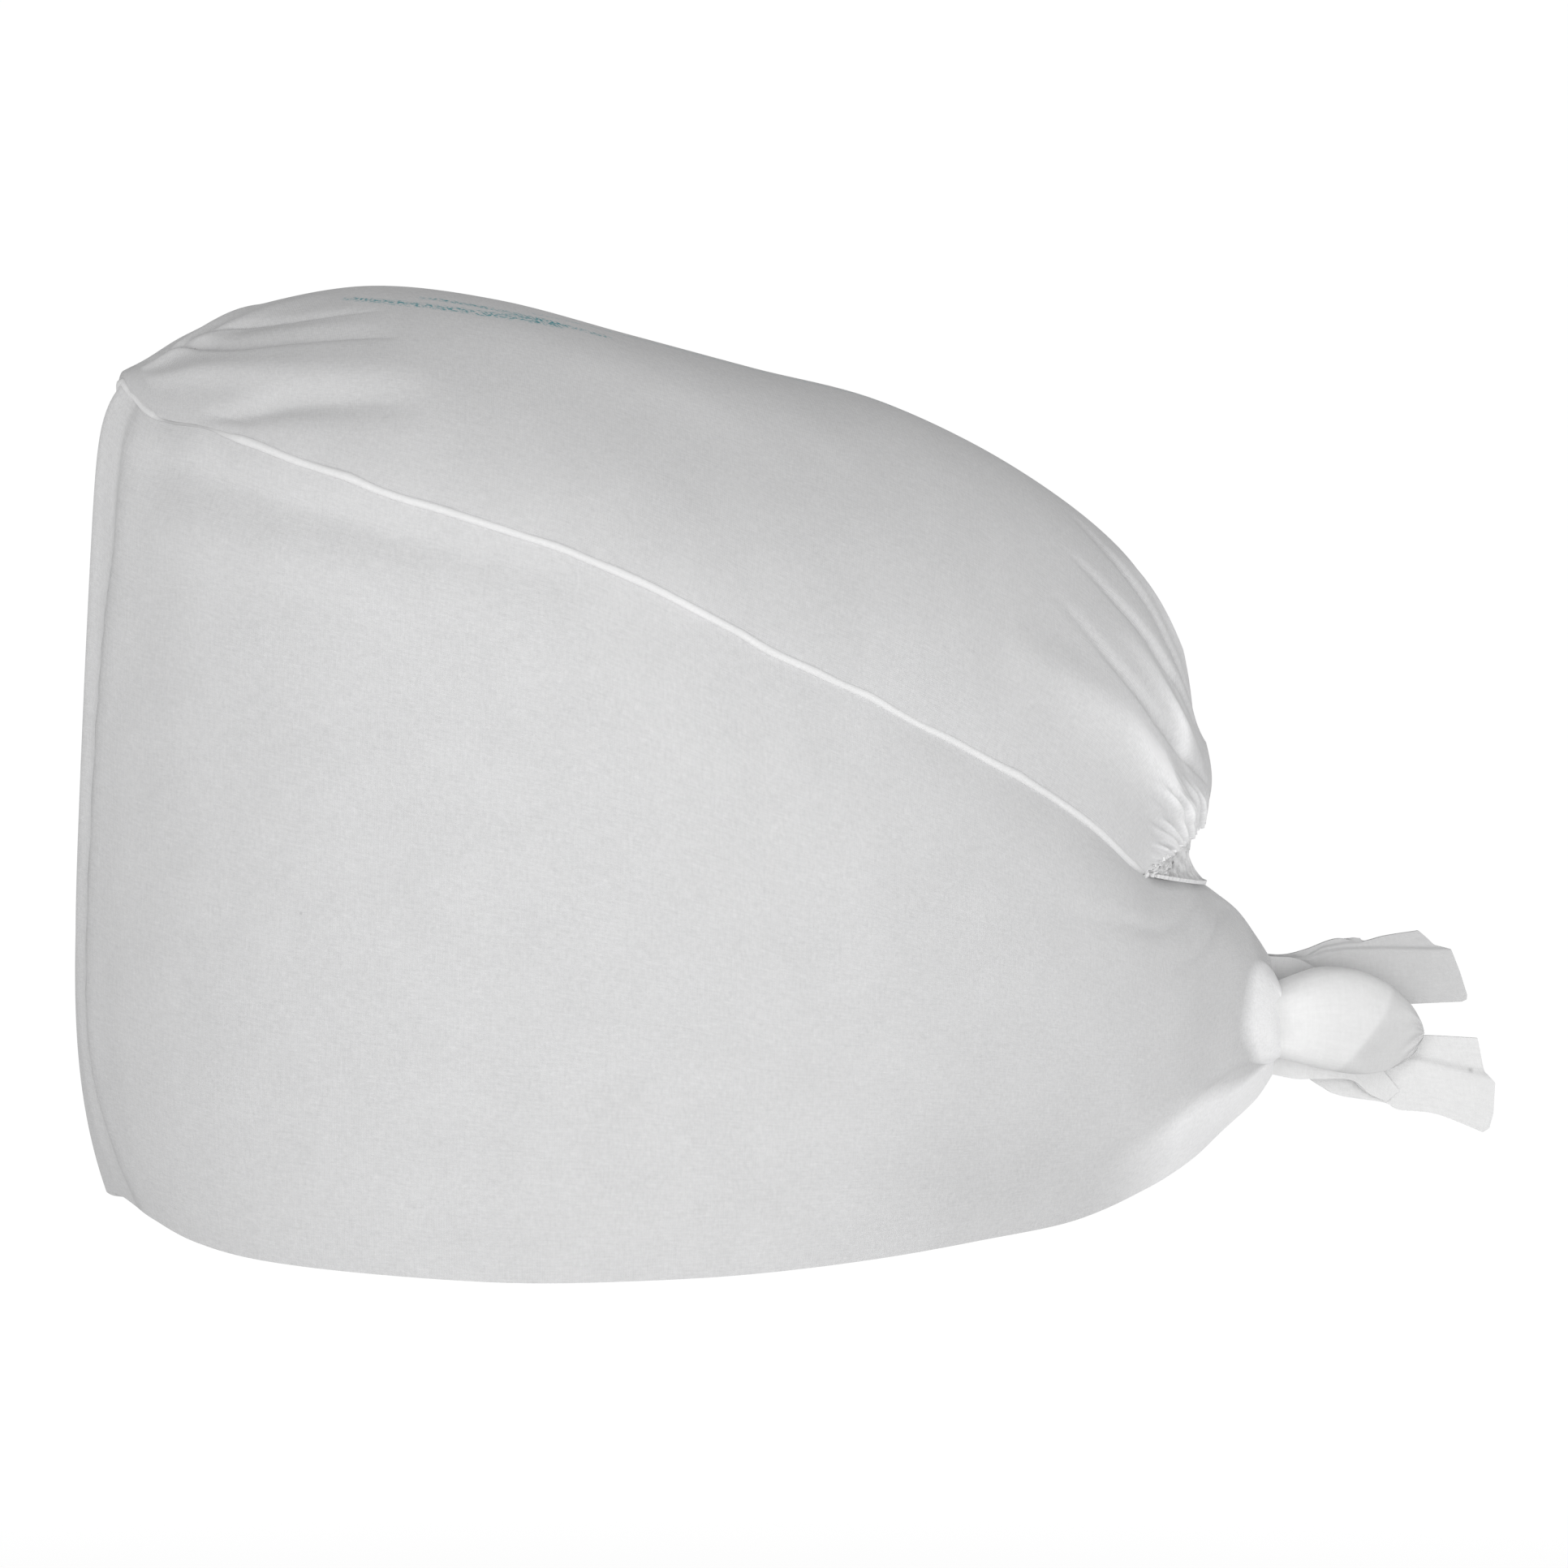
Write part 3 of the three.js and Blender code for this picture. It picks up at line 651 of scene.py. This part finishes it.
crown_folds = [
    # from, to (sections); path across; width; lift, tuck and groove in metres
    (1.5, 5.0, [0.04, -0.18, -0.4, -0.43, -0.44], 0.05, -0.0006, -0.0008, -0.001),
    (3.0, 4.9, [-0.22, -0.27, -0.29], 0.04, -0.0004, 0.0004, -0.0008),
    (1.9, 4.0, [-0.16, -0.15, -0.05, 0.06], 0.05, 0.0009, 0, 0),
    (1.6, 4.6, [-0.26, -0.24, -0.08], 0.06, 0.0012, 0, 0),
    (2.7, 5.2, [-0.99, -0.87, -0.76, -0.71, -0.68], 0.065, -0.0014, 0, 0.0001),
    (1.6, 5.4, [-0.5, -0.6, -0.58], 0.1, 0.0013, 0, 0),
    (1.4, 4.9, [0.1, 0.14, 0.16], 0.05, -0.001, 0.0008, -0.0009),
    (1.2, 5.2, [0.3, 0.38, 0.36], 0.07, -0.001, -0.0008, 0.0009),
    (1.6, 5.4, [0.72, 0.7, 0.62], 0.08, -0.0014, 0, 0),
    (10.2, 13.9, [-0.56, -0.62, -0.61, -0.565, -0.47, -0.36], 0.05, 0, 0.0006, 0.0006),
    (10.2, 13.9, [-0.56, -0.62, -0.61, -0.565, -0.47, -0.36], 0.014, -0.0008, 0, 0),
    (10.3, 12.9, [-0.4, -0.438, -0.426, -0.36, -0.27], 0.045, 0, 0.0005, 0.0005),
    (10.3, 12.9, [-0.4, -0.438, -0.426, -0.36, -0.27], 0.014, -0.0007, 0, 0),
    (10.3, 12.5, [-0.19, -0.275, -0.3, -0.308, -0.29], 0.035, 0, 0.0004, 0.0004),
    (10.3, 12.5, [-0.19, -0.275, -0.3, -0.308, -0.29], 0.014, -0.0006, 0, 0),
    (10.9, 13.4, [-0.5, -0.525, -0.51, -0.45, -0.38], 0.045, 0.0015, 0, 0),
    (10.7, 12.6, [-0.22, -0.2, -0.2, -0.25], 0.05, 0.0008, 0, 0),
    (9.8, 14.2, [-0.74, -0.77, -0.75, -0.7, -0.6], 0.07, 0.0028, 0, 0),
    (12.0, 13.3, [-0.12, -0.12], 0.25, -0.001, 0, 0),
    (9.9, 13.4, [0.1, 0.06, 0.02], 0.04, -0.0008, 0.0006, -0.0009),
    (10.2, 14.0, [0.2, 0.3, 0.26], 0.045, -0.0008, 0.0008, -0.0011),
    (10.0, 14.2, [0.44, 0.56, 0.46], 0.05, -0.0009, 0.001, -0.0012),
    (10.0, 14.4, [0.76, 0.78, 0.66], 0.09, 0.0021, 0, 0),
]


def section_point(flank, ridge, lean, across):
    turn = (1 + across) * np.pi / 2
    rise = np.sin(turn)
    aside = np.cos(turn) * (1 - lean * rise)
    return np.stack([
        flank[..., 0] + (ridge[..., 0] - flank[..., 0]) * rise,
        flank[..., 1] * aside,
        flank[..., 2] + (ridge[..., 2] - flank[..., 2]) * rise,
    ], axis=-1)


crown_flank = seam_point(crown_sections[:, 0])
crown_ridge = np.stack([
    cap_length * crown_sections[:, 1],
    np.zeros(len(crown_sections)),
    cap_height * crown_sections[:, 2],
], axis=-1)
crown_seamway = seam_point(crown_sections[:, 0] + 0.05) - seam_point(crown_sections[:, 0] - 0.05)
crown_seamway /= np.linalg.norm(crown_seamway, axis=1, keepdims=True)
crown_rise = crown_ridge - crown_flank
crown_rise[:, 1] = -crown_inward * crown_flank[:, 1]
crown_rise /= np.linalg.norm(crown_rise, axis=1, keepdims=True)
crown_rise -= crown_seamway * np.sum(crown_rise * crown_seamway, axis=1, keepdims=True)
crown_rise /= np.linalg.norm(crown_rise, axis=1, keepdims=True)
near_flank = crown_flank + crown_rise * edge_gap
crown_last = len(crown_sections) - 1
crown_along = np.interp(np.arange(203), [1, 72, 112, 140, 202], [0, 4, 8, 10, crown_last])[:, None]
crown_across = np.interp(np.arange(238), [0, 130, 237], [-1, -0.15, 1])[None, :]
crown_section = crown_along + 1
crown_aside = np.abs(crown_across)


def crown_rows(table, place):
    return np.stack([smooth_value(table[:, axis], place) for axis in range(3)], axis=-1)


crown_places = section_point(
    crown_rows(near_flank, crown_along),
    crown_rows(crown_ridge, crown_along),
    smooth_value(crown_sections[:, 3], crown_along),
    crown_across,
)
crown_held = rising(1 - crown_aside, 0, 2 * fold_hold)
crown_lift = crown_held * fold_height(crown_folds, crown_section, crown_across)
ruffle_random = np.random.default_rng(11)
ruffle_phase = ruffle_random.uniform(0, 2 * np.pi, 3)
ruffle_start = 11.6 + 5 * (0.85 - crown_aside)
ruffle_rise = rising(crown_section, ruffle_start, ruffle_start + 0.5)
ruffle_rise = ruffle_rise * np.clip((0.98 - crown_aside) / 0.12 - 0.5 * (14.6 - crown_section), 0, 1)
ruffle_lean = crown_aside + 0.058 * crown_section
ruffles = (
    np.sin(ruffle_counts[0] * ruffle_lean + 0.8 * np.sin(2.3 * crown_along) + ruffle_phase[0])
    + 0.7 * np.sin(ruffle_counts[1] * ruffle_lean + 1.7 * crown_along + ruffle_phase[1])
    + 0.7 * np.sin(ruffle_counts[2] * ruffle_lean - 1.1 * crown_along + ruffle_phase[2])
)
crown_lift = crown_lift + ruffle_rise * ruffles * ruffle_height + solid_cloth / 2
crown_places = crown_places + surface_normals(crown_places) * crown_lift[..., None]
crown_places[0] = seam_point(-crown_across[0]) + brow_edge_shift
# Soft spots of painted light, and one of painted shade, on the crown.
painted_light_and_shade_spots = [
    # section, across; how far along and across; how much painted light, or painted shade below nought
    (12.2, -0.52, 0.75, 0.035, 0.42),
    (11.75, -0.41, 0.5, 0.03, 0.13),
    (12.35, -0.7, 0.55, 0.055, 0.58),
    (11.55, -0.73, 0.6, 0.055, 0.48),
    (10.8, -0.745, 0.5, 0.045, 0.12),
    (11.6, -0.19, 0.6, 0.04, 0.2),
    (13.6, -0.66, 0.5, 0.04, 0.24),
    (6.9, -0.42, 1.5, 0.14, 0.12),
    (3.45, -0.33, 0.8, 0.12, -0.12),
    (12.2, 0.52, 0.8, 0.05, 0.2),
    (12.2, 0.76, 0.7, 0.06, 0.22),
    (14.4, -0.7, 0.9, 0.25, 0.2),
    (14.4, 0.7, 0.9, 0.25, 0.1),
]


def line_mark(start, end, path, width, run_out):
    share = rising(crown_section, start, end)
    middle = smooth_value(path, (len(path) - 1) * share)
    return hump(crown_across, middle, width) * np.clip(run_out * np.sin(np.pi * share), 0, 1)


# Painted light and shade on the ruffles: paler on their crests, darker in their troughs.
crown_painted_light_and_shade = ruffle_rise * (ruffle_painted_light_level + ruffle_painted_light_and_shade_contrast * np.clip(ruffles, -0.7, 2))
# Painted shade along the bottom of three fine creases.
for row in fine_fold_rows:
    crown_painted_light_and_shade -= crease_painted_shade_level * line_mark(*crown_folds[row][:3], fine_fold_width, 3)
for section, across, reach_along, reach_across, paler in painted_light_and_shade_spots:
    spot = hump(crown_section, section, reach_along) * hump(crown_across, across, reach_across)
    crown_painted_light_and_shade += paler * spot
# A faint teal streak lies along the crown's top, in three soft broken lines.
trace_lines = [
    # first and last section; across at even steps between them; width; strength
    (4.6, 6.4, [-0.16, -0.22, -0.24, -0.24, -0.22, -0.2], 0.02, 1.2),
    (5.2, 6.8, [-0.17, -0.185, -0.19, -0.18], 0.014, 1.0),
    (6.0, 9.3, [-0.16, -0.1, -0.08, -0.07, -0.07], 0.014, 0.5),
]
crown_trace = np.zeros(crown_places.shape[:2])
for start, end, path, width, strength in trace_lines:
    crown_trace += strength * line_mark(start, end, path, width, 6)
crown_marks = {"pale": crown_painted_light_and_shade, "trace": crown_trace}
crown = cloth_sheet("crown_cloth", crown_places, crown_cut, cotton_thickness, crown_marks)
finish_cloth(crown, cotton("crown_cotton", crown_tone), ["crown"])

# Elastic casing
# A narrow channel closes the back of the crown. The elastic inside it draws the cotton into
# tight upright ruffles.
casing_station = 12
casing_back = np.array([0.504 * cap_length, 0, 0.355 * cap_height])
casing_lean = 0.4
gather_count = 22
casing_waist = 0.055 * half_breadth
casing_skew = 0.1
casing_cut = (0.108, 0.0132)
casing_lift = np.array([0, 0, 0.0002])
# The casing's cotton is set paler than the rest as painted light against the shade it lies in.
casing_lit_tone = (0.74, 0.74, 0.742)
casing_knot_count = 60
gather_height = 0.0007
gather_uneven = 0.0002
fine_count = 2.6 * gather_count
fine_height = 0.00028
casing_painted_light_level = 0.22
gather_painted_light_and_shade_level = 0.04
casing_foot_darker = 0.2
casing_flank = seam_point(np.array(casing_station)) + casing_lift
casing_down = np.linspace(0, 1, 40)[:, None]
casing_across = np.linspace(0, 1, 420)[None, :]
casing_turn = 2 * casing_across - 1
casing_top = section_point(near_flank[-1], crown_ridge[-1], crown_sections[-1, 3], casing_turn)
casing_foot = section_point(casing_flank, casing_back + casing_lift, casing_lean, casing_turn)
casing_places = casing_top + (casing_foot - casing_top) * casing_down[..., None]
casing_random = np.random.default_rng(3)
casing_turns = casing_across + casing_skew * casing_down
casing_knots = casing_random.normal(0, 1, casing_knot_count)
casing_uneven = np.interp(casing_turns, np.linspace(0, 1 + casing_skew, casing_knot_count), casing_knots)
casing_ruffle = np.cos(2 * np.pi * (gather_count * casing_turns + 0.22 * casing_uneven))
casing_fine = np.cos(2 * np.pi * (fine_count * casing_turns + 1.4 * casing_down))
casing_held = rising(np.minimum(casing_across, 1 - casing_across), 0, 0.04)
gather_rise = (gather_height + gather_uneven * casing_uneven) * casing_ruffle
casing_height = (
    casing_held * gather_rise * np.sin(np.pi * casing_down) ** 0.5
    + casing_held * fine_height * casing_fine
    - casing_waist * np.sin(np.pi * casing_down) ** 0.6 * np.sin(np.pi * casing_across)
    + solid_cloth / 2
)
casing_places = casing_places + surface_normals(casing_places) * casing_height[..., None]
# Painted light over the whole casing, painted light and shade along its gathers, and painted shade at its
# foot.
casing_pale = casing_painted_light_level + gather_painted_light_and_shade_level * casing_held * (casing_fine + casing_ruffle)
casing_pale = casing_pale - casing_foot_darker * rising(casing_down, 0.8, 0.92)
casing = cloth_sheet("casing_cloth", casing_places, casing_cut, cotton_thickness, {"pale": casing_pale})
finish_cloth(casing, cotton("casing_cotton", casing_lit_tone), ["elastic_gather"])

# Knot
# The two ties are the band's own ends, folded double and knotted. Each bight is a flattened egg
# of folded tape that opens out of the gathered neck. Its front is smooth, its end is folded back
# along a slanting edge, and its tip is puckered.
# The ties' cotton is set paler than the band's, partly for the doubled tape and partly as painted light.
knot_doubled_and_lit_tone = (0.79, 0.79, 0.79)
bight_outline = np.array([
    # along, top, foot, outer, all in millimetres in the cap's frame
    [116.0, 40.0, 34.0, 11.5],
    [119.0, 41.2, 32.4, 15.4],
    [122.0, 42.4, 31.1, 18.8],
    [126.0, 43.6, 29.9, 17.4],
    [130.5, 45.1, 28.6, 15.6],
    [135.2, 46.3, 27.3, 15.3],
    [141.3, 45.8, 26.2, 14.9],
    [147.0, 43.6, 26.3, 13.4],
    [151.5, 40.3, 27.5, 11.4],
    [154.6, 36.6, 29.6, 8.6],
    [156.2, 33.6, 32.2, 5.2],
]) * 0.001
fold_edge = np.array([
    # up, along: the slanting edge where the bight is folded back
    [26.0, 136.0],
    [30.9, 139.8],
    [35.0, 143.2],
    [38.0, 145.6],
    [42.2, 147.9],
    [46.0, 149.5],
]) * 0.001
fold_back = 0.7
fold_softness = 0.0004
bight_inner = 0.0012
bight_front = 0.0151
bight_roundness = 0.72
root_rise = 0.0034
pucker_height = 0.0005
wrinkle_depth = 0.0004
# Levels of painted light and painted shade on the bight.
root_painted_light_level = 0.08
folded_painted_shade_level = 0.12
pucker_painted_shade_level = 0.06
bight_cut = (0.031, 0.03)


def knot_bight(name, side, node):
    lengthwise = np.linspace(0, 1, 150)[:, None]
    round_turn = np.linspace(0, 2 * np.pi, 145)[None, :]
    place = lengthwise * (len(bight_outline) - 1)
    along, top, foot, outer = [smooth_value(bight_outline[:, column], place) for column in range(4)]
    middle_up = (top + foot) / 2
    half_up = (top - foot) / 2
    ups = middle_up + half_up * np.cos(round_turn)
    swell = np.sign(np.sin(round_turn)) * np.abs(np.sin(round_turn)) ** bight_roundness
    outs = (outer + bight_inner) / 2 + (outer - bight_inner) / 2 * swell
    beyond = np.maximum(along - np.interp(ups, fold_edge[:, 0], fold_edge[:, 1]), 0)
    front = bight_front + root_rise * hump(along, 0.1215, 0.004) - fold_back * beyond
    pressed = -np.logaddexp(-outs / fold_softness, -front / fold_softness) * fold_softness
    outs = np.where(swell > 0, pressed, outs)
    pucker = hump(along, 0.1545, 0.0022) * np.clip(swell, 0, 1)
    outs = outs + pucker_height * pucker * np.sin(9 * round_turn + 900 * along)
    wrinkle = hump(ups - middle_up, 0.0012, 0.003) * hump(along, 0.127, 0.006)
    outs = outs - wrinkle_depth * wrinkle * np.clip(swell, 0, 1)
    places = np.stack([along + 0 * ups, side * outs, ups], axis=-1)
    folded = rising(beyond, 0, 0.0012) * np.clip(swell * 4, 0, 1)
    # Painted light at the bight's root, painted shade on the folded-back end and in the pucker.
    bight_painted_light_and_shade = root_painted_light_level * hump(along, 0.128, 0.006) - folded_painted_shade_level * folded - pucker_painted_shade_level * pucker
    bight = closed_roll(name, places, bight_cut, {"pale": bight_painted_light_and_shade})
    finish_cloth(bight, tie_cotton, [node])


tie_cotton = cotton("tie_cotton", knot_doubled_and_lit_tone, 0.5)
knot_bight("bight_near", -1, "knot_bight_near")
knot_bight("bight_far", 1, "knot_bight_far")

# Tie tails and wraps
# The free ends are flat tapes folded double, which stick out behind the knot, cut across at their
# tips; the lower one has a dark speck. Short laps of the same tape show above and below the bight.
tape_thickness = 0.0009
tail_speck = (0.1666, 0.0254)
tail_speck_size = 0.0004
tail_speck_darker = 0.35
tip_start = 0.75
# Both tails are the same doubled tape: the upper one's cotton is set darker as painted shade, the lower
# one's paler, partly for the doubled tape and partly as painted light.
upper_shaded_tone = (0.6, 0.6, 0.602)
lower_doubled_and_lit_tone = (0.78, 0.78, 0.78)
upper_shaded_cotton = cotton("tail_upper_cotton", upper_shaded_tone, 0.6)
lower_doubled_and_lit_cotton = cotton("tail_lower_cotton", lower_doubled_and_lit_tone, 0.6)


def tape(name, top_line, foot_line, tip_line, aside_line, creases, material, node, cut):
    # The lines are in millimetres in the cap's frame; a crease is a line, a step and a width.
    lengthwise = np.linspace(0, 1, 110)[:, None]
    crosswise = np.linspace(0, 1, 70)[None, :]
    lines = []
    for line in (top_line, foot_line):
        line = np.array(line) * 0.001
        lines.append([smooth_value(line[:, axis], lengthwise * (len(line) - 1)) for axis in (0, 1)])
    top, foot = lines
    along = top[0] + (foot[0] - top[0]) * crosswise
    up = top[1] + (foot[1] - top[1]) * crosswise
    tip_line = np.array(tip_line) * [1, 0.001]
    tip = np.interp(crosswise, tip_line[:, 0], tip_line[:, 1])
    along = along + tip * rising(lengthwise, tip_start, 1)
    aside = smooth_value(np.array(aside_line) * 0.001, lengthwise * (len(aside_line) - 1)) + 0 * up
    for crease_line, step, width in creases:
        crease_line = np.array(crease_line) * 0.001
        level = np.interp(along, crease_line[:, 0], crease_line[:, 1])
        across_crease = np.clip((up - level) / (0.001 * width), -12, 12)
        aside = aside + 0.001 * step / (1 + np.exp(-across_crease))
    places = np.stack([along, aside, up], axis=-1)
    speck = hump(along, tail_speck[0], tail_speck_size) * hump(up, tail_speck[1], tail_speck_size)
    tape_pale = -tail_speck_darker * speck
    if aside_line[0] <= 0.5:
        places = places[:, ::-1]
        tape_pale = tape_pale[:, ::-1]
    piece = cloth_sheet(name, places, cut, tape_thickness, {"pale": tape_pale})
    finish_cloth(piece, material, [node] if node else [])


tape(
    "tail_upper_cloth",
    [(127.1, 48.1), (130.5, 47.9), (134.6, 48.8), (140.6, 50.7), (145.4, 49.9), (150.4, 50.9),
     (156.9, 51.7)],
    [(126, 41.0), (131, 39.5), (136, 38.5), (141, 38.0), (146, 37.8), (153, 38.0), (164.9, 38.2)],
    [(0, 0), (0.1, 0.8), (0.2, 1.4), (0.26, 4.0), (0.58, 3.2), (0.91, 2.0), (0.97, 1.4), (1, 0.2)],
    [0.3, 0.4, 0.2, 0.2, 0.5, 0.6],
    [
        ([(134.6, 47.2), (138.5, 48.4), (142.5, 48.8), (148.9, 48.8), (158.8, 48.4), (168, 48.3)],
         0.9, 0.12),
        ([(134.6, 47.3), (137.8, 49.1), (142.5, 49.9), (145.7, 49.9), (150, 54), (170, 60)], -0.8, 0.12),
    ],
    upper_shaded_cotton,
    "tie_tail_upper",
    (0.038, 0.014),
)
tape(
    "tail_lower_cloth",
    [(127, 33), (134, 32.5), (141, 32.3), (147, 32.2), (153, 32.0), (158.6, 32.0), (168.1, 31.3)],
    [(127.0, 26.4), (133.0, 25.6), (137.6, 23.0), (141.2, 21.2), (149.6, 19.7), (152.5, 18.3), (159, 17.5),
     (164.5, 15.5), (168.7, 13.7)],
    [(0, 0), (0.36, 1.1), (0.47, 2.8), (0.8, 2.3), (0.96, 1.4), (1, 0.2)],
    [-0.3, -0.4, -0.2, -0.4, -0.8, -1.2],
    [([(140, 31), (157.0, 27.8), (166.2, 25.4), (172, 24)], 1.3, 0.35)],
    lower_doubled_and_lit_cotton,
    "tie_tail_lower",
    (0.043, 0.014),
)
tape(
    "wrap_upper_near",
    [(123.5, 48.6), (127.1, 48.1), (130.5, 47.8), (133.1, 47.0), (137.5, 44.6)],
    [(124, 40), (127, 40), (130.5, 40), (133.5, 40), (137, 40)],
    [(0, 0), (1, 0)],
    [-4.6, -4.2, -3.6, -3.0, -2.2],
    [],
    upper_shaded_cotton,
    None,
    (0.014, 0.01),
)
tape(
    "wrap_lower_near",
    [(124, 33), (130, 32), (136, 31), (142, 30), (147, 28.0), (152.5, 22)],
    [(125.5, 26.4), (131, 25.1), (135.2, 24.9), (142.6, 24.4), (146.4, 21.6), (150.0, 19.9)],
    [(0, 0), (1, 0)],
    [-5.2, -4.6, -4.0, -3.0, -1.8, -1.0],
    [],
    lower_doubled_and_lit_cotton,
    None,
    (0.022, 0.01),
)
